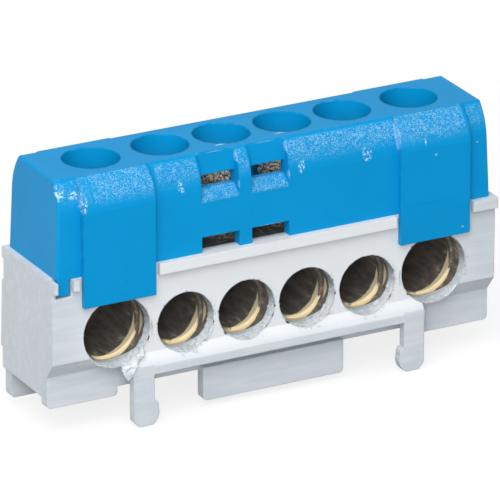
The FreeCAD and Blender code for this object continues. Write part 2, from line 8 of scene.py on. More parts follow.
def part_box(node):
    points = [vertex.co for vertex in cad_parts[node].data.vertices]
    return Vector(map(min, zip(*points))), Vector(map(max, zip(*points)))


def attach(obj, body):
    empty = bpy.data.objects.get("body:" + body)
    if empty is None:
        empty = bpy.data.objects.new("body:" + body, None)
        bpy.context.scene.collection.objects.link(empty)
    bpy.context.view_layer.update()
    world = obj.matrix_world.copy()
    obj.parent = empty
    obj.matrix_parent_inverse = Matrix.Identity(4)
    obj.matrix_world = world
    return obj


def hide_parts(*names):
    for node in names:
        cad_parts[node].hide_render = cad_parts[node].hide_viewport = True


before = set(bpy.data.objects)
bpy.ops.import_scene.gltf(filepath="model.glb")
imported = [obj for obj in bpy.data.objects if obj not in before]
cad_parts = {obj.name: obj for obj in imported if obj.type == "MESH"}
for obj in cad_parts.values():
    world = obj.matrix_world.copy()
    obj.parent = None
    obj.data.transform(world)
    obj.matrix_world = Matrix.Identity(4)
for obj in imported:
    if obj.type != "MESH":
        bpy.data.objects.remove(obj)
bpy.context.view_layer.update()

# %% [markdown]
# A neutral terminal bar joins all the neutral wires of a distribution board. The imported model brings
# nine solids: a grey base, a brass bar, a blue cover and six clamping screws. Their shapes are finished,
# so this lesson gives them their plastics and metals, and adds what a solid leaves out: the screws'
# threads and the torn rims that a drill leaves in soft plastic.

MM = 0.001
base_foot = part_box("base")[0].z
cover_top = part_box("cover")[1].z
bar_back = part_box("bar")[1].y
screw_boxes = [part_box("screw_%d" % number) for number in range(1, 7)]
screw_x = [(low.x + high.x) / 2 for low, high in screw_boxes]
print("terminals along X in mm:", [round(x / MM, 2) for x in screw_x])

# %% [markdown]
# Every material here is a graph of nodes, and most of its steps are the same few: add a node, feed it
# numbers or other nodes, and do some arithmetic on a position. The next cells give those steps short
# names. All patterns read Object coordinates, which are metres on this part, because every piece's
# object stands at the origin. So a pattern stays where it is when a screw moves.

# %% Short names for nodes and links
def new_finish(name, colour, metallic, roughness):
    """A material with one Principled shader, and that shader."""
    finish = bpy.data.materials.new(name)
    finish.use_nodes = True
    shader = finish.node_tree.nodes["Principled BSDF"]
    shader.inputs["Base Color"].default_value = (*colour, 1)
    shader.inputs["Metallic"].default_value = metallic
    shader.inputs["Roughness"].default_value = roughness
    return finish, shader


def add(finish, kind, inputs=(), **settings):
    """One node. Its inputs are given as {name or number: value or another node's output}."""
    node = finish.node_tree.nodes.new("ShaderNode" + kind)
    for name, value in settings.items():
        setattr(node, name, value)
    for name, value in dict(inputs).items():
        if isinstance(value, bpy.types.NodeSocket):
            finish.node_tree.links.new(value, node.inputs[name])
        else:
            node.inputs[name].default_value = value
    return node


def join(finish, node, outputs):
    """Feeds a node that is already there. The outputs are given as {input's name: output}."""
    for name, output in outputs.items():
        finish.node_tree.links.new(output, node.inputs[name])


def position(finish):
    """The Object coordinates, whole and as X, Y and Z."""
    where = add(finish, "TexCoord").outputs["Object"]
    apart = add(finish, "SeparateXYZ", {"Vector": where})
    return where, apart.outputs["X"], apart.outputs["Y"], apart.outputs["Z"]


def stretched(finish, where, scale):
    """A position on which patterns grow longer along an axis whose scale is below 1."""
    return add(finish, "Mapping", {"Vector": where, "Scale": scale}).outputs["Vector"]


print("nodes can be added, joined and placed")

# %% Short names for arithmetic
def calc(finish, operation, *values):
    return add(finish, "Math", dict(enumerate(values)), operation=operation).outputs[0]


def times(finish, first, second):
    return calc(finish, "MULTIPLY", first, second)


def plus(finish, first, second):
    return calc(finish, "ADD", first, second)


def minus(finish, first, second):
    return calc(finish, "SUBTRACT", first, second)


def largest(finish, *values):
    """The largest of the values at each point, which lays masks over each other."""
    total = values[0]
    for value in values[1:]:
        total = calc(finish, "MAXIMUM", total, value)
    return total


def fade(finish, value, start, end):
    """0 where value is at start, 1 where it is at end, smooth between."""
    node = add(finish, "MapRange", {"Value": value, "From Min": start, "From Max": end},
               interpolation_type="SMOOTHSTEP")
    return node.outputs["Result"]


def between(finish, value, low, high, soft):
    """1 where value lies between low and high, all in millimetres, with soft borders."""
    rise = fade(finish, value, (low - soft) * MM, (low + soft) * MM)
    fall = fade(finish, value, (high + soft) * MM, (high - soft) * MM)
    return times(finish, rise, fall)


def choose(finish, share, first, second):
    """The number first where share is 0, and second where it is 1."""
    return add(finish, "Mix", {0: share, 2: first, 3: second}, data_type="FLOAT").outputs[0]


def blend_colours(finish, share, first, second):
    """The same for colours, which are triples or outputs."""
    first, second = [(*c, 1) if isinstance(c, tuple) else c for c in (first, second)]
    return add(finish, "Mix", {0: share, 6: first, 7: second}, data_type="RGBA").outputs[2]


print("masks can be faded, multiplied and laid over each other")

# %% Short names for patterns and relief
def grain(finish, where, size, detail=3.0, roughness=0.55):
    """Noise whose lumps are about size millimetres across."""
    node = add(finish, "TexNoise", {"Vector": where, "Scale": 1 / (size * MM), "Detail": detail,
                                    "Roughness": roughness})
    return node.outputs["Fac"]


def chips(finish, where, size):
    """Cells about size millimetres across, each with its own random value from 0 to 1."""
    node = add(finish, "TexVoronoi", {"Vector": where, "Scale": 1 / (size * MM)})
    return add(finish, "SeparateColor", {0: node.outputs["Color"]}).outputs[0]


def spots(finish, where, places):
    """1 inside egg-shaped spots. Each is its centre and its half sizes along X, Y, Z in millimetres."""
    insides = []
    for centre, half in places:
        centre, shrink = tuple(v * MM for v in centre), tuple(1 / (v * MM) for v in half)
        away = add(finish, "VectorMath", {0: where, 1: centre}, operation="SUBTRACT").outputs[0]
        shrunk = add(finish, "VectorMath", {0: away, 1: shrink}, operation="MULTIPLY").outputs[0]
        length = add(finish, "VectorMath", {0: shrunk}, operation="LENGTH").outputs["Value"]
        insides.append(fade(finish, length, 1.0, 0.6))
    return largest(finish, *insides)


def rounded_edges(finish, radius):
    """A normal that rounds every edge by radius, in metres."""
    return add(finish, "Bevel", {"Radius": radius}, samples=4).outputs["Normal"]


def edge_mask(finish, rounded):
    """1 where the rounded normal leaves the flat one, which is on the edges."""
    flat = add(finish, "NewGeometry").outputs["Normal"]
    likeness = add(finish, "VectorMath", {0: rounded, 1: flat}, operation="DOT_PRODUCT").outputs["Value"]
    return fade(finish, likeness, 0.97, 0.80)


def bump(finish, height, strength, distance, normal=None):
    """A normal with relief that is distance millimetres high, on top of another normal."""
    inputs = {"Height": height, "Strength": strength, "Distance": distance * MM}
    if normal is not None:
        inputs["Normal"] = normal
    return add(finish, "Bump", inputs).outputs["Normal"]


print("patterns, spots, edges and relief are ready")

# %% [markdown]
# The cover is injection-moulded in a saturated blue. Its mould was polished on the flat faces and
# spark-eroded on parts of the rounded shoulder and on the ramps below the windows, which leaves a fine
# pitted skin that glitters; its glints are painted highlights, pale cells in the colour. One material
# can do both: masks made from the place of a point switch the pitted skin on. Each strip is a range of
# X and a strength, so the list reads like the cover from left to right.

# %% Where the blue plastic is pitted
CREASE = 3.95               # half width of the flat top, mm
SHOULDER_DROP = (3.1, 1.3)  # the pitted skin fades out over these depths below the top, mm
RAMP_Z = (22.75, 23.9)
PITTED_X = ((-24.2, -21.1, 0.45), (-20.9, -14.2, 1.0), (-13.4, -8.75, 0.75),
            (-4.05, -2.95, 0.8), (1.65, 21.9, 1.0), (22.5, 24.4, 0.6))
RAMP_X = ((-8.45, -4.3), (-2.75, 1.4))


def pitted_skin(finish, x, y, z):
    """1 where the mould was spark-eroded. The ramps are in front only."""
    strips = [times(finish, between(finish, x, low, high, 0.12), strength) for low, high, strength in PITTED_X]
    beside = fade(finish, calc(finish, "ABSOLUTE", y), (CREASE + 0.12) * MM, (CREASE + 0.32) * MM)
    above = fade(finish, z, cover_top - SHOULDER_DROP[0] * MM, cover_top - SHOULDER_DROP[1] * MM)
    shoulder = times(finish, largest(finish, *strips), times(finish, beside, above))
    ramps = largest(finish, *[between(finish, x, low, high, 0.08) for low, high in RAMP_X])
    ramps = times(finish, ramps, between(finish, z, *RAMP_Z, 0.1))
    ramps = times(finish, ramps, fade(finish, y, 0.0, -1.0 * MM))
    return largest(finish, shoulder, ramps)


print("pitted strips:", len(PITTED_X), "ramps:", len(RAMP_X))

# %% Colour of the blue plastic
DEEP_BLUE, CLEAR_BLUE = (0.0012, 0.256, 0.56), (0.0015, 0.268, 0.584)
PAINTED_GLINT_BLUE = (0.46, 0.70, 0.88)

blue, shader = new_finish("blue_plastic", (0.0012, 0.262, 0.572), 0.0, 0.3)
shader.inputs["Specular IOR Level"].default_value = 0.11
where, x, y, z = position(blue)
pitted = pitted_skin(blue, x, y, z)
patchy = fade(blue, grain(blue, where, 0.9, 2.0), 0.1, 0.6)
pits = chips(blue, where, 0.085)
skin = grain(blue, where, 0.5, 2.0)
swirl = grain(blue, where, 6.0, 2.0)
# Pale cells in the pitted skin are painted glints, a painted highlight.
painted_glints = times(blue, fade(blue, pits, 0.4, 1.0), times(blue, pitted, patchy))
tone = blend_colours(blue, fade(blue, swirl, 0.3, 0.7), DEEP_BLUE, CLEAR_BLUE)
tone = blend_colours(blue, times(blue, painted_glints, 0.52), tone, PAINTED_GLINT_BLUE)
print("blue plastic so far:", len(blue.node_tree.nodes), "nodes")

# %% [markdown]
# Plastic turns pale where it is scratched or rubbed, so wear is a second layer of colour. A rounded-edge
# normal from the Bevel node gives every edge the small radius that no mould can do without, and the
# same normal tells the material where those edges are, because they wear first; their pale colour is also
# a painted highlight where they catch the light. The larger marks have no such rule: each is an egg-shaped
# spot at its own place, broken up by noise, and some of them are painted highlights on edges and well rims.

# %% Marks and painted highlights on the blue plastic: centre and half sizes, mm
NICKS_AND_RIM_GLINTS = (
    ((-24.45, -5.0, 26.2), (0.14, 0.4, 0.7)), ((-23.9, -5.0, 26.5), (0.25, 0.5, 0.2)),
    ((-23.0, -5.3, 25.9), (0.45, 0.5, 0.35)), ((-22.4, -5.7, 25.4), (0.30, 0.5, 0.45)),
    ((-22.05, -5.9, 24.6), (0.14, 0.4, 0.5)), ((-10.95, -5.4, 25.35), (0.13, 0.5, 0.26)),
    ((-10.6, -5.45, 24.35), (0.22, 0.5, 0.11)), ((3.2, -5.4, 25.1), (0.09, 0.5, 0.35)),
    ((2.9, -5.4, 24.1), (0.12, 0.5, 0.3)), ((10.3, -5.4, 25.2), (0.3, 0.5, 0.12)),
    ((10.5, -5.4, 23.9), (0.25, 0.5, 0.09)), ((13.9, -5.8, 23.0), (0.16, 0.3, 0.14)),
    ((17.0, -6.0, 25.0), (0.10, 0.6, 0.5)), ((18.2, -6.1, 23.4), (0.17, 0.4, 0.14)),
    ((23.5, -5.3, 23.6), (0.15, 0.4, 0.11)), ((21.4, -6.1, 14.9), (0.14, 0.4, 0.11)),
    # The last two are painted highlights on the near rims of two wells.
    ((-5.0, -2.80, 27.52), (0.95, 0.16, 0.25)), ((2.1, -2.72, 27.52), (1.2, 0.16, 0.25)),
)
SPECKLED = (
    ((-24.2, -4.8, 26.6), (0.8, 1.0, 1.0)), ((-22.8, -5.3, 26.1), (0.85, 0.9, 0.65)),
    ((-22.1, -5.7, 25.3), (0.5, 0.8, 1.3)), ((-10.8, -5.4, 25.0), (0.5, 0.5, 0.9)),
    ((10.6, -5.4, 24.6), (0.7, 0.5, 0.9)), ((3.0, -5.4, 24.6), (0.5, 0.5, 0.8)),
)
# Pale places along edges: partly wear and partly a painted highlight where the edges catch the light.
RUBBED_AND_LIT_PLACES = (
    ((-6.4, -4.05, 27.5), (2.2, 0.12, 0.13)), ((-0.6, -4.05, 27.5), (2.2, 0.12, 0.13)),
    ((-4.15, -4.6, 26.8), (0.12, 0.9, 0.8)), ((1.57, -4.6, 26.8), (0.12, 0.9, 0.8)),
    ((14.1, -5.2, 26.0), (0.18, 1.2, 1.9)), ((-4.25, -5.3, 24.0), (0.12, 0.5, 0.6)),
    ((1.5, -5.3, 24.0), (0.12, 0.5, 0.6)), ((-0.6, -5.45, 19.0), (2.1, 0.1, 0.08)),
    ((-4.7, 1.9, 27.6), (0.9, 0.9, 0.1)), ((-5.0, -2.75, 27.55), (0.7, 0.2, 0.14)),
    ((2.1, -2.65, 27.55), (0.9, 0.25, 0.14)),
)
print("nicks:", len(NICKS_AND_RIM_GLINTS), "speckled places:", len(SPECKLED), "rubbed places:", len(RUBBED_AND_LIT_PLACES))

# %% Wear and painted highlights of the blue plastic
RUBBED_AND_LIT_BLUE, NICK_AND_GLINT_BLUE = (0.34, 0.64, 0.88), (0.66, 0.86, 0.97)
PARTING_BLUE = (0.001, 0.17, 0.42)

crease = fade(blue, z, cover_top - 1.2 * MM, cover_top - 0.7 * MM)
soft_edge = rounded_edges(blue, plus(blue, times(blue, crease, 0.2 * MM), 0.12 * MM))
# Pale edges are partly wear and partly a painted highlight.
rubbed_and_lit = times(blue, edge_mask(blue, soft_edge), fade(blue, grain(blue, where, 0.7), 0.5, 0.75))
places = times(blue, times(blue, spots(blue, where, RUBBED_AND_LIT_PLACES), 0.6), fade(blue, pits, 0.0, 0.5))
rubbed_and_lit = largest(blue, times(blue, rubbed_and_lit, 0.35), places)
tone = blend_colours(blue, rubbed_and_lit, tone, RUBBED_AND_LIT_BLUE)
broken = fade(blue, grain(blue, where, 0.10, 2.0), 0.44, 0.56)
nicks_and_glints = times(blue, spots(blue, where, NICKS_AND_RIM_GLINTS), broken)
specks = fade(blue, chips(blue, where, 0.17), 0.55, 0.8)
specks = times(blue, times(blue, spots(blue, where, SPECKLED), specks), 0.75)
tone = blend_colours(blue, times(blue, largest(blue, nicks_and_glints, specks), 0.8), tone, NICK_AND_GLINT_BLUE)
parting = times(blue, between(blue, z, 18.21, 18.29, 0.03), between(blue, x, 14.8, 20.4, 1.0))
parting = times(blue, parting, fade(blue, y, -5.9 * MM, -6.1 * MM))
tone = blend_colours(blue, times(blue, parting, 0.5), tone, PARTING_BLUE)
print("blue plastic with its wear:", len(blue.node_tree.nodes), "nodes")

# %% Gloss and relief of the blue plastic
gloss = plus(blue, times(blue, skin, 0.12), 0.24)
gloss = plus(blue, gloss, times(blue, pitted, 0.12))
waves = bump(blue, skin, 0.12, 0.02, soft_edge)
pitting = bump(blue, times(blue, pits, pitted), 0.6, 0.04, waves)
join(blue, shader, {"Base Color": tone, "Roughness": gloss, "Normal": pitting})
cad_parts["cover"].material_slots[0].material = blue
print("blue plastic:", len(blue.node_tree.nodes), "nodes")

# %% [markdown]
# Both the base and the bar need to know how far a point is from the nearest wire hole. The four small
# holes stand seven millimetres apart, so wrapping X round that pitch gives the distance sideways from
# whichever of them is nearest. The two large holes at the ends have their own centre, size and height.

# %% Distance from the nearest wire hole
SMALL_RADIUS, LARGE_RADIUS = 3.2, 3.75
SMALL_HEIGHT, LARGE_HEIGHT = 10.25, 10.6
PITCH = screw_x[2] - screw_x[1]


def from_nearest_hole(finish, x, z):
    """Sideways and upwards from the nearest hole's axis, in metres, and 1 where that hole is large."""
    out = calc(finish, "ABSOLUTE", x)
    large = calc(finish, "GREATER_THAN", out, (screw_x[4] + screw_x[5]) / 2)
    small_dx = minus(finish, calc(finish, "WRAP", x, PITCH, 0.0), PITCH / 2)
    large_dx = times(finish, minus(finish, out, screw_x[5]), calc(finish, "SIGN", x))
    dx = choose(finish, large, small_dx, large_dx)
    dz = minus(finish, z, choose(finish, large, SMALL_HEIGHT * MM, LARGE_HEIGHT * MM))
    return dx, dz, large


print("pitch of the small holes in mm:", round(PITCH / MM, 2))

# %% [markdown]
# The base is moulded in a pale bluish grey. Its front between the ends is painted lighter above about
# seven millimetres, a painted light from above that leaves the lower faces in shade, and faint lines run
# along it where the moulding was dragged. Its wire holes are drilled afterwards through soft plastic, which
# smears and tears instead of cutting, so the wall of each hole is chalky, full of chips that still hang on,
# and streaked along the drill's way.

# %% Colour of the grey plastic
SHADE_GREY, LIGHT_GREY = (0.545, 0.594, 0.642), (0.568, 0.614, 0.66)
LIT_UPPER_GREY, DRAG_GREY = (0.712, 0.738, 0.762), (0.72, 0.735, 0.75)
SCUFF_GREY = (0.80, 0.82, 0.84)

grey, shader = new_finish("grey_plastic", (0.555, 0.603, 0.65), 0.0, 0.42)
where, x, y, z = position(grey)
cloud = grain(grey, where, 5.0, 2.0)
tone = blend_colours(grey, fade(grey, cloud, 0.3, 0.7), SHADE_GREY, LIGHT_GREY)
# The upper front is painted lighter than the lower faces: painted light from above.
painted_light_above = times(grey, fade(grey, z, 5.9 * MM, 7.4 * MM), fade(grey, y, -4.4 * MM, -5.0 * MM))
painted_light_above = times(grey, painted_light_above, between(grey, x, -21.5, 21.5, 2.5))
tone = blend_colours(grey, painted_light_above, tone, LIT_UPPER_GREY)
drag_way = stretched(grey, where, (0.12, 1.0, 1.0))
drag = fade(grey, grain(grey, drag_way, 0.7), 0.42, 0.68)
tone = blend_colours(grey, times(grey, drag, 0.35), tone, DRAG_GREY)
soft_edge = rounded_edges(grey, 0.15 * MM)
scuffed = times(grey, edge_mask(grey, soft_edge), fade(grey, grain(grey, where, 0.8), 0.45, 0.7))
tone = blend_colours(grey, times(grey, scuffed, 0.5), tone, SCUFF_GREY)
print("grey plastic so far:", len(grey.node_tree.nodes), "nodes")

# %% Torn walls of the wire holes, with painted shade above and painted light below
SHADED_UPPER_GREYS = (0.22, 0.255, 0.28), (0.38, 0.415, 0.44)
LIT_LOWER_GREYS = (0.50, 0.555, 0.60), (0.64, 0.68, 0.71)
CRUMB_GREY, DIRT_GREY = (0.80, 0.83, 0.86), (0.30, 0.36, 0.40)
BORE_SHADE_COLOUR = (0.10, 0.09, 0.075)

dx, dz, large = from_nearest_hole(grey, x, z)
squares = plus(grey, times(grey, dx, dx), times(grey, dz, dz))
radius = choose(grey, large, SMALL_RADIUS * MM, LARGE_RADIUS * MM)
outside = minus(grey, calc(grey, "SQRT", squares), radius)
angle = calc(grey, "ARCTAN2", dz, dx)
drilled = times(grey, fade(grey, outside, 0.08 * MM, 0.03 * MM), fade(grey, y, -3.9 * MM, -4.1 * MM))
streaks = grain(grey, stretched(grey, where, (1.0, 0.3, 1.0)), 0.35, 3.0, 0.65)
scored = fade(grey, streaks, 0.36, 0.60)
# The upper half of each hole's wall is painted in shade and the lower half painted lit.
upper = blend_colours(grey, scored, *SHADED_UPPER_GREYS)
lower = blend_colours(grey, scored, *LIT_LOWER_GREYS)
torn = blend_colours(grey, fade(grey, calc(grey, "SINE", angle), 0.35, -0.25), upper, lower)
crumbs = fade(grey, chips(grey, where, 0.28), 0.8, 0.95)
torn = blend_colours(grey, times(grey, crumbs, 0.4), torn, CRUMB_GREY)
rim = times(grey, fade(grey, outside, 0.01 * MM, 0.05 * MM), fade(grey, outside, 0.6 * MM, 0.2 * MM))
rim = times(grey, rim, fade(grey, calc(grey, "COSINE", plus(grey, angle, 0.6)), 0.1, 0.7))
rim = times(grey, rim, fade(grey, chips(grey, where, 0.2), 0.8, 0.95))
tone = blend_colours(grey, times(grey, rim, 0.6), tone, DIRT_GREY)
tone = blend_colours(grey, drilled, tone, torn)
# The rear wall seen through each bore is painted near black: painted shade where little light reaches.
behind_bar = between(grey, y, bar_back / MM - 0.2, bar_back / MM + 0.5, 0.1)
painted_bore_shade = times(grey, behind_bar, fade(grey, outside, 1.2 * MM, 0.6 * MM))
tone = blend_colours(grey, painted_bore_shade, tone, BORE_SHADE_COLOUR)
print("grey plastic with its holes:", len(grey.node_tree.nodes), "nodes")

# %% Gloss and relief of the grey plastic
skin = grain(grey, where, 0.6)
gloss = plus(grey, times(grey, skin, 0.16), 0.34)
gloss = plus(grey, gloss, times(grey, drilled, 0.45))
waves = bump(grey, skin, 0.15, 0.03, soft_edge)
chalk = grain(grey, where, 0.22, 3.0, 0.7)
tearing = bump(grey, times(grey, plus(grey, streaks, chalk), drilled), 0.7, 0.07, waves)
join(grey, shader, {"Base Color": tone, "Roughness": gloss, "Normal": tearing})
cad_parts["base"].material_slots[0].material = grey
print("grey plastic:", len(grey.node_tree.nodes), "nodes")

# %% [markdown]
# The bar is drawn brass, sawn to length and drilled. Its colour is painted a dark brown that stands in
# for the shade deep in its bores. Near the mouth of each bore, on the lower right where the light reaches
# in, a slanted crescent worked out from the angle round the bore and the depth is painted clean gold, a
# painted highlight, and the rest is the painted shade with a few bare patches.

# %% Where the brass is painted lit
LIT_SIDE_DROP = math.radians(65)     # the lit side of each bore lies this far below the horizontal
CRESCENT_Y = -2.95          # middle of the crescent, mm
CRESCENT_HALF = 0.52        # half its width, mm

brass, shader = new_finish("brass", (0.80, 0.58, 0.26), 1.0, 0.3)
where, x, y, z = position(brass)
dx, dz = from_nearest_hole(brass, x, z)[:2]
angle = calc(brass, "ARCTAN2", dz, dx)
mottle = grain(brass, stretched(brass, where, (1.0, 0.3, 1.0)), 0.7, 4.0, 0.65)
wobble = times(brass, minus(brass, grain(brass, where, 0.9), 0.5), 0.5 * MM)
wavy_y = plus(brass, y, wobble)
angle_from_lit_side = plus(brass, angle, LIT_SIDE_DROP)
toward_lit_side, slant = calc(brass, "COSINE", angle_from_lit_side), calc(brass, "SINE", angle_from_lit_side)
tip = choose(brass, calc(brass, "GREATER_THAN", slant, 0.0), 0.60, 0.20)
half = times(brass, fade(brass, toward_lit_side, tip, 1.0), CRESCENT_HALF * MM)
middle = plus(brass, times(brass, slant, 0.6 * MM), CRESCENT_Y * MM)
off = calc(brass, "ABSOLUTE", minus(brass, wavy_y, middle))
lit_crescent = fade(brass, minus(brass, off, half), 0.06 * MM, -0.06 * MM)
spill = times(brass, fade(brass, slant, -0.05, -0.35), fade(brass, slant, -0.85, -0.65))
spill = times(brass, spill, fade(brass, wavy_y, -2.9 * MM, -3.05 * MM))
lit_crescent = largest(brass, lit_crescent, times(brass, spill, fade(brass, toward_lit_side, 0.0, 0.2)))
bare = times(brass, fade(brass, mottle, 0.56, 0.66), fade(brass, y, -0.6 * MM, -1.6 * MM))
lit_or_bare = largest(brass, lit_crescent, times(brass, bare, 0.35))
print("brass so far:", len(brass.node_tree.nodes), "nodes")

# %% [markdown]
# Four of the bores also get a painted highlight: a bright streak on the right, a lens shape that is
# thickest level with the axis. The third and the last bore have none. Fine rings across the bore are the
# marks that the turning drill left. They are noise along the bore only, bent a little so that they don't
# look machined by a computer.

# %% Painted streaks and rings in the bores
STREAK_Y = 3.6              # depth of the streak in front of the bar's middle, mm
STREAK_HALF = 0.34          # half its width, mm
RINGS = 9000.0              # noise lumps per metre along the bore

turn = calc(brass, "ABSOLUTE", plus(brass, angle, 0.05))
lens = times(brass, fade(brass, turn, 0.55, 0.0), STREAK_HALF * MM)
depth = calc(brass, "ABSOLUTE", plus(brass, y, STREAK_Y * MM))
painted_streak = fade(brass, minus(brass, depth, lens), 0.05 * MM, -0.15 * MM)
painted_streak = times(brass, painted_streak, fade(brass, lens, 0.0, 0.1 * MM))
plain = largest(brass, between(brass, x, -7.0, 0.0, 0.01), fade(brass, x, 14.0 * MM, 14.1 * MM))
painted_streak = times(brass, painted_streak, minus(brass, 1.0, plain))
bent = plus(brass, y, times(brass, grain(brass, where, 1.2, 2.0), 0.25 * MM))
rings = add(brass, "TexNoise", {"W": bent, "Scale": RINGS, "Detail": 2.0}, noise_dimensions="1D").outputs["Fac"]
print("brass with streaks and rings:", len(brass.node_tree.nodes), "nodes")

# %% Brass of the bar
SHADE_BROWNS = (0.17, 0.157, 0.145), (0.29, 0.25, 0.21)
GOLDS = (0.95, 0.85, 0.58), (0.88, 0.71, 0.42)
SHADED_MOUTH_GOLD, PAINTED_STREAK_GOLD = (0.80, 0.66, 0.42), (1.0, 0.82, 0.60)

# The dark brown over the bar is painted shade, standing in for the shade deep in the bores.
shade_brown = blend_colours(brass, fade(brass, mottle, 0.35, 0.65), *SHADE_BROWNS)
gold = blend_colours(brass, fade(brass, rings, 0.35, 0.65), *GOLDS)
# The mouth in front of the crescent is painted a little darker, painted shade over its highlights.
shaded_mouth = fade(brass, y, -2.88 * MM, -2.96 * MM)
gold = blend_colours(brass, times(brass, shaded_mouth, 0.2), gold, SHADED_MOUTH_GOLD)
tone = blend_colours(brass, lit_or_bare, shade_brown, gold)
tone = blend_colours(brass, painted_streak, tone, PAINTED_STREAK_GOLD)
metal = minus(brass, 0.5, times(brass, lit_or_bare, 0.42))
gloss = plus(brass, times(brass, mottle, 0.2), times(brass, rings, 0.15))
gloss = minus(brass, plus(brass, gloss, 0.48), times(brass, lit_or_bare, 0.15))
turned = bump(brass, rings, 0.5, 0.03, rounded_edges(brass, 0.04 * MM))
join(brass, shader, {"Base Color": tone, "Metallic": metal, "Roughness": gloss, "Normal": turned})
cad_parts["bar"].material_slots[0].material = brass
print("brass:", len(brass.node_tree.nodes), "nodes")

# %% [markdown]
# The screws are zinc-plated steel. Their threads are so fine that in the photograph they are only glints
# beside dark grooves, some silver and some yellow where the plating has worn. Narrow upright cells paint
# the same at any distance, on top of the threads that are modelled below: dark cells are painted shade in
# the grooves beside the pale zinc. They stay off the flat ends, and the lower part of each screw is dark with
# oil.

# %% Zinc-plated steel of the screws
ZINCS = (0.98, 0.97, 0.95), (0.95, 0.78, 0.50)
GROOVE_SHADE_BROWN, OIL_BROWN = (0.08, 0.055, 0.05), (0.12, 0.09, 0.07)

steel, shader = new_finish("plated_steel", (0.72, 0.68, 0.60), 0.25, 0.3)
where, x, y, z = position(steel)
mottle = grain(steel, where, 0.8, 4.0, 0.6)
facets = chips(steel, stretched(steel, where, (1.0, 1.0, 0.35)), 0.16)
tone = blend_colours(steel, fade(steel, mottle, 0.35, 0.65), *ZINCS)
facing = add(steel, "SeparateXYZ", {0: add(steel, "TexCoord").outputs["Normal"]}).outputs["Z"]
sides = fade(steel, calc(steel, "ABSOLUTE", facing), 0.97, 0.9)
sides = largest(steel, sides, fade(steel, y, -1.1 * MM, -1.7 * MM))
painted_groove_shade = times(steel, fade(steel, facets, 0.45, 0.30), sides)
tone = blend_colours(steel, times(steel, painted_groove_shade, 0.9), tone, GROOVE_SHADE_BROWN)
oiled = fade(steel, z, 22.4 * MM, 20.5 * MM)
tone = blend_colours(steel, times(steel, oiled, 0.7), tone, OIL_BROWN)
gloss = plus(steel, times(steel, mottle, 0.2), 0.26)
scuffs = bump(steel, grain(steel, where, 0.17, 2.0), plus(steel, times(steel, sides, 0.8), 0.1), 0.05)
join(steel, shader, {"Base Color": tone, "Roughness": gloss, "Normal": scuffs})
print("plated steel:", len(steel.node_tree.nodes), "nodes")

# %% [markdown]
# A machine screw's thread is one tooth wound round and round. Spin does that in one go: a zigzag with
# one tooth per pitch is turned once round the axis while it climbs one pitch, so each tooth ends where
# the next one starts, and merging closes the seam. Two bisect cuts give the rod its ends.

# %% A threaded rod
THREAD_PITCH = 0.8 * MM
CREST, ROOT = 2.5 * MM, 2.05 * MM
TOOTH = ((0.0, ROOT), (0.12, ROOT), (0.5, CREST), (0.62, CREST))    # share of the pitch, radius
SPIN_STEPS = 56


def keep_side(bm, point, direction):
    """Cuts the closed mesh by a plane, keeps the side that the direction points away from, and caps it."""
    geom = bm.verts[:] + bm.edges[:] + bm.faces[:]
    cut = bmesh.ops.bisect_plane(bm, geom=geom, dist=1e-7, plane_co=point, plane_no=direction, clear_outer=True)
    edges = [e for e in cut["geom_cut"] if isinstance(e, bmesh.types.BMEdge)]
    bmesh.ops.edgenet_fill(bm, edges=edges)


def threaded_rod(low, high):
    bm = bmesh.new()
    teeth = int((high - low) / THREAD_PITCH) + 4
    profile = []
    for tooth in range(teeth):
        start = low + (tooth - 2) * THREAD_PITCH
        for share, radius in TOOTH:
            profile.append(bm.verts.new((radius, 0, start + share * THREAD_PITCH)))
    profile.append(bm.verts.new((ROOT, 0, low + (teeth - 2) * THREAD_PITCH)))
    edges = [bm.edges.new(pair) for pair in zip(profile, profile[1:])]
    bmesh.ops.spin(bm, geom=profile + edges, cent=(0, 0, 0), axis=(0, 0, 1), angle=math.tau, steps=SPIN_STEPS,
                   dvec=(0, 0, THREAD_PITCH / SPIN_STEPS), use_merge=False)
    bmesh.ops.remove_doubles(bm, verts=bm.verts, dist=1e-6)
    keep_side(bm, (0, 0, low), (0, 0, -1))
    keep_side(bm, (0, 0, high), (0, 0, 1))
    bmesh.ops.recalc_face_normals(bm, faces=bm.faces)
    return bm


rod = threaded_rod(0, 10 * MM)
print("threaded rod:", len(rod.faces), "faces, open edges:", sum(1 for e in rod.edges if len(e.link_faces) != 2))
rod.free()

# %% [markdown]
# Each screw gets a chamfered point, a chamfered crown and a driver slot. The slot needs no Boolean: the
# rod is copied, and each copy is bisected to one part of the screw, a foot below the slot and two cheeks
# beside it. The three overlap a little, so they read as one piece from every side.

# %% The shape of one screw
SLOT_WIDTH, SLOT_DEPTH = 1.0 * MM, 1.8 * MM
POINT, CROWN = 0.7 * MM, 0.35 * MM
OVERLAP = 0.1 * MM


def screw_mesh(low, high):
    rod = threaded_rod(low, high)
    for vert in rod.verts:
        limit = min(CREST, CREST - POINT + (vert.co.z - low), CREST - CROWN + (high - vert.co.z))
        radius = math.hypot(vert.co.x, vert.co.y)
        if radius > limit:
            vert.co.x *= limit / radius
            vert.co.y *= limit / radius
    slot_floor = high - SLOT_DEPTH
    cheek_foot = ((0, 0, slot_floor - OVERLAP), (0, 0, -1))
    parts = [
        [((0, 0, slot_floor), (0, 0, 1))],
        [cheek_foot, ((0, SLOT_WIDTH / 2, 0), (0, -1, 0))],
        [cheek_foot, ((0, -SLOT_WIDTH / 2, 0), (0, 1, 0))],
    ]
    joined = bmesh.new()
    for cuts in parts:
        part = rod.copy()
        for point, direction in cuts:
            keep_side(part, point, direction)
        piece = bpy.data.meshes.new("screw_part")
        part.to_mesh(piece)
        part.free()
        joined.from_mesh(piece)
        bpy.data.meshes.remove(piece)
    rod.free()
    return joined


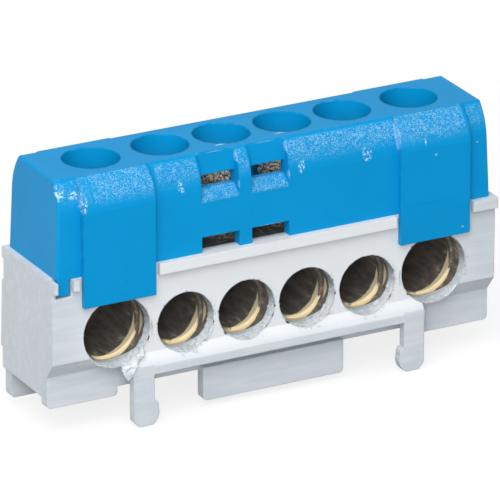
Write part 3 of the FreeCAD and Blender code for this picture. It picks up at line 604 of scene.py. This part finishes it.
print("driver slot in mm:", round(SLOT_WIDTH / MM, 2), "wide,", round(SLOT_DEPTH / MM, 2), "deep")

# %% Six screws with threads and slots
SLOT_TURNS = (0.9, 2.2, 2.55, 2.7, 0.4, 1.6)    # radians, as a fitter would leave them


def place_piece(bm, name, finish, body):
    """Makes an object at the origin out of a bmesh, and lets it ride on a body of the frame."""
    mesh = bpy.data.meshes.new(name)
    bm.to_mesh(mesh)
    bm.free()
    mesh.materials.append(finish)
    for polygon in mesh.polygons:
        polygon.use_smooth = False
    piece = bpy.data.objects.new(name, mesh)
    bpy.context.scene.collection.objects.link(piece)
    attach(piece, body)
    return piece


for number, ((low, high), middle, turn) in enumerate(zip(screw_boxes, screw_x, SLOT_TURNS), start=1):
    bm = screw_mesh(low.z, high.z)
    bmesh.ops.rotate(bm, verts=bm.verts, cent=(0, 0, 0), matrix=Matrix.Rotation(turn, 3, "Z"))
    bmesh.ops.translate(bm, verts=bm.verts, vec=(middle, 0, 0))
    piece = place_piece(bm, "threaded_screw_%d" % number, steel, "terminal_screw_%d" % number)
    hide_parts("screw_%d" % number)
print("screws: 6, each with", len(piece.data.polygons), "faces")

# %% [markdown]
# A drill that breaks through soft plastic leaves a skin of torn flakes on the wall of the hole and a
# ragged rim. Each wire hole gets such a skin: a short line is spun round the hole's axis, noise pulls
# its points inwards, and Solidify gives it a thickness that ends inside the wall. A shorter arc of the
# same skin, set a little further forward, is a burr that stands proud of the rim.

# %% A torn skin on the wall of a hole
WALL_FRONT, WALL_BACK = -5.5, -4.3      # mm along Y
SKIN_ROWS = 7
SKIN_THICKNESS = 0.15 * MM
FLAKE = 0.34 * MM                       # size of the flakes


def torn_skin(number, extra, reach, arc, depth, seed):
    """A ragged skin in a hole. Its reach is (front, back) and extra widens it, in mm. Its arc is (start, sweep)
    in degrees from +X."""
    radius, height = (LARGE_RADIUS, LARGE_HEIGHT) if number in (1, 6) else (SMALL_RADIUS, SMALL_HEIGHT)
    radius += extra
    front, back = reach
    start, sweep = arc
    bm = bmesh.new()
    line = [bm.verts.new((radius * MM, (front + (back - front) * row / SKIN_ROWS) * MM, 0))
            for row in range(SKIN_ROWS + 1)]
    edges = [bm.edges.new(pair) for pair in zip(line, line[1:])]
    bmesh.ops.rotate(bm, verts=line, cent=(0, 0, 0), matrix=Matrix.Rotation(-math.radians(start), 3, "Y"))
    bmesh.ops.spin(bm, geom=line + edges, cent=(0, 0, 0), axis=(0, -1, 0), angle=math.radians(sweep),
                   steps=int(sweep / 2), use_merge=sweep >= 360)
    for vert in bm.verts:
        along = vert.co / FLAKE + Vector((seed, 0, 0))
        rough = max(0.0, noise.noise(along) + 0.35 * noise.noise(along * 3.1) - 0.02)
        lower = 0.5 if vert.co.z > 0 else 1.0
        pull = 1 - lower * min(depth * rough * 2.2, depth) * MM / (radius * MM)
        vert.co.x *= pull
        vert.co.z *= pull
    bmesh.ops.recalc_face_normals(bm, faces=bm.faces)
    centres = [(face, face.calc_center_median()) for face in bm.faces]
    if sum(face.normal.dot(Vector((centre.x, 0, centre.z))) for face, centre in centres) > 0:
        bmesh.ops.reverse_faces(bm, faces=bm.faces)
    bmesh.ops.solidify(bm, geom=bm.faces[:], thickness=SKIN_THICKNESS)
    bmesh.ops.recalc_face_normals(bm, faces=bm.faces)
    bmesh.ops.translate(bm, verts=bm.verts, vec=(screw_x[number - 1], 0, height * MM))
    return bm


print("a torn skin reaches", round(WALL_BACK - WALL_FRONT, 2), "mm into its hole")

# %% Torn skins and burrs of the wire holes
# Each burr is its hole, its arc as (start, sweep) in degrees, and how far forward it stands in mm.
BURRS = ((4, (-62, 26), -5.62), (2, (-50, 30), -5.6), (6, (170, 24), -5.6))

for number in range(1, 7):
    bm = torn_skin(number, 0.01, (WALL_FRONT, WALL_BACK), (0, 360), 0.10, number * 7.3)
    skin_piece = place_piece(bm, "torn_skin_%d" % number, grey, "housing")
for number, arc, front in BURRS:
    bm = torn_skin(number, 0.06, (front, WALL_FRONT + 0.15), arc, 0.12, number * 3.1)
    place_piece(bm, "burr_%d" % number, grey, "housing")
print("torn skins: 6, each with", len(skin_piece.data.polygons), "faces; burrs:", len(BURRS))

# %% [markdown]
# The drill also cut through the end of the ledge under the first hole, where a torn tongue of plastic
# hangs over the edge. It is a grid laid along a line of places, each with its own half width. Noise
# frays its sides and folds it, and Solidify makes it a flake with two faces.

# %% Torn tongue at the first hole
TONGUE = (((-16.45, -4.5, 7.55), 1.20), ((-16.55, -5.2, 7.50), 1.40), ((-16.65, -5.75, 7.45), 1.50),
          ((-16.85, -6.15, 7.15), 1.40), ((-17.05, -6.30, 6.70), 1.05), ((-17.20, -6.36, 6.20), 0.75),
          ((-17.20, -6.38, 5.75), 0.45), ((-17.10, -6.38, 5.45), 0.20))
TONGUE_COLUMNS, TONGUE_STEPS = 14, 4
TONGUE_THICKNESS = 0.12 * MM


def torn_tongue(line, across, seed):
    """A ragged flap along a line of (place, half width) in millimetres. Its width runs along across."""
    rows = []
    for (low, wide), (high, narrow) in zip(line, line[1:]):
        for step in range(TONGUE_STEPS):
            share = step / TONGUE_STEPS
            rows.append((Vector(low).lerp(Vector(high), share), wide + (narrow - wide) * share))
    last = len(rows) - 1
    bm = bmesh.new()
    bmesh.ops.create_grid(bm, x_segments=TONGUE_COLUMNS, y_segments=last, size=1.0)
    for vert in bm.verts:
        side = round((vert.co.x + 1) / 2 * TONGUE_COLUMNS) / TONGUE_COLUMNS * 2 - 1
        centre, half = rows[round((vert.co.y + 1) / 2 * last)]
        ragged = 1 + 0.35 * noise.noise(Vector((side * 2, centre.z * 3.1, seed)))
        spot = centre + across * (side * half * ragged)
        fold = noise.noise(spot * 2.6 + Vector((seed, 0, 0))) + 0.5 * noise.noise(spot * 6.5)
        vert.co = (spot + Vector((0, max(-0.08, 0.20 * fold), 0.14 * fold))) * MM
    bm.normal_update()      # moved points keep the flat grid's normals, and Solidify goes by them
    bmesh.ops.recalc_face_normals(bm, faces=bm.faces)
    bmesh.ops.solidify(bm, geom=bm.faces[:], thickness=TONGUE_THICKNESS)
    bmesh.ops.recalc_face_normals(bm, faces=bm.faces)
    return bm


tongue = place_piece(torn_tongue(TONGUE, Vector((0.86, 0, 0.5)), 4.2), "burr_1", grey, "housing")
print("torn tongue:", len(tongue.data.polygons), "faces")

# %% [markdown]
# The part stands on a plain pale floor under soft studio light. To a camera, and through clear things,
# the floor and the world are white, so the background is white while the part still leaves its shadow.
# Glossy rays see a bright field behind the part and a dark card in front of it, as a photographer sets
# them, so the front faces keep their full colour and the top gets a soft sheen.

# %% Pale floor
CAMERA_WHITE, BOUNCE_GREY = (1.0, 1.0, 1.0), (0.40, 0.40, 0.40)

floor_bm = bmesh.new()
bmesh.ops.create_grid(floor_bm, x_segments=1, y_segments=1, size=2.0)
floor_mesh = bpy.data.meshes.new("floor")
floor_bm.to_mesh(floor_mesh)
floor_bm.free()
floor = bpy.data.objects.new("floor", floor_mesh)
bpy.context.scene.collection.objects.link(floor)
floor.location = (0, 0, base_foot - 0.02 * MM)
pale, shader = new_finish("pale_floor", (0.9, 0.9, 0.9), 0.0, 0.9)
rays = add(pale, "LightPath").outputs
clear_view = largest(pale, rays["Is Camera Ray"], rays["Is Transmission Ray"])
join(pale, shader, {"Base Color": blend_colours(pale, clear_view, BOUNCE_GREY, CAMERA_WHITE)})
place = add(pale, "NewGeometry").outputs["Position"]
toward_back = add(pale, "SeparateXYZ", {0: place}).outputs["Y"]
away = add(pale, "VectorMath", {0: place}, operation="LENGTH").outputs["Value"]
white_share = plus(pale, times(pale, fade(pale, away, 35 * MM, 90 * MM), 0.2), 0.8)
card = plus(pale, times(pale, fade(pale, toward_back, -20 * MM, 15 * MM), 0.68), 0.12)
strength = choose(pale, rays["Is Glossy Ray"], 1.0, card)
glow = add(pale, "Emission", {"Color": (1, 1, 1, 1), "Strength": strength})
share = largest(pale, times(pale, clear_view, white_share), rays["Is Glossy Ray"])
mixed = add(pale, "MixShader", {0: share, 1: shader.outputs[0], 2: glow.outputs[0]})
join(pale, pale.node_tree.nodes["Material Output"], {"Surface": mixed.outputs[0]})
floor_mesh.materials.append(pale)
print("floor:", len(pale.node_tree.nodes), "nodes")

# %% World
world = bpy.data.worlds.new("studio")
world.use_nodes = True
bpy.context.scene.world = world
sky = world.node_tree.nodes["Background"]
sky.inputs["Color"].default_value = (0.93, 0.965, 1, 1)
sky.inputs["Strength"].default_value = 0.58
rays = add(world, "LightPath").outputs
white = add(world, "Background", {"Strength": 1.0})
toward_back = add(world, "SeparateXYZ", {0: add(world, "NewGeometry").outputs["Position"]}).outputs["Y"]
room = plus(world, times(world, fade(world, toward_back, -0.2, 0.3), 0.55), 0.12)
mirror = add(world, "Background", {"Strength": room})
clear_view = largest(world, rays["Is Camera Ray"], rays["Is Transmission Ray"])
lit = add(world, "MixShader", {0: rays["Is Glossy Ray"], 1: sky.outputs[0], 2: mirror.outputs[0]})
seen = add(world, "MixShader", {0: clear_view, 1: lit.outputs[0], 2: white.outputs[0]})
join(world, world.node_tree.nodes["World Output"], {"Surface": seen.outputs[0]})
print("world:", len(world.node_tree.nodes), "nodes")

# %% [markdown]
# One large warm lamp, high at the left and in front, does most of the work, and a small one lower in
# front lifts the front faces. The world fills the rest with a cool light. Both lamps aim at the middle
# of the part.

# %% Lamps
AIM = Vector((0, 0, 0.014))


def soft_lamp(name, place, size, power, colour=(1, 1, 1)):
    lamp = bpy.data.lights.new(name, "AREA")
    lamp.shape = "DISK"
    lamp.size = size
    lamp.energy = power
    lamp.color = colour
    holder = bpy.data.objects.new(name, lamp)
    bpy.context.scene.collection.objects.link(holder)
    holder.location = place
    holder.rotation_euler = (AIM - Vector(place)).to_track_quat("-Z", "Y").to_euler()


soft_lamp("key_lamp", (-0.165, -0.185, 0.31), 0.34, 1.24, (1, 0.985, 0.96))
soft_lamp("front_lamp", (-0.17, -0.31, 0.135), 0.14, 0.39)

# %% [markdown]
# The photograph was taken from the front left, a little above, through a long lens: edges that run the
# same way stay almost parallel. The camera's turn, tilt and distance come from a fit of the part's
# corners to where they are in the picture.

# %% Camera
TILT_DOWN, TURN_RIGHT = 21.957, 28.009      # degrees

camera = bpy.data.objects.new("camera", bpy.data.cameras.new("camera"))
bpy.context.scene.collection.objects.link(camera)
camera.data.lens = 504
camera.data.shift_x = 0.001
camera.data.shift_y = -0.0008
camera.data.clip_end = 20
camera.location = (-0.312894, -0.587823, 0.282630)
camera.rotation_euler = (math.radians(90 - TILT_DOWN), 0, math.radians(-TURN_RIGHT))
bpy.context.scene.camera = camera
bpy.context.scene.view_settings.view_transform = "Standard"
print("camera to part:", round(camera.location.length, 3), "m")
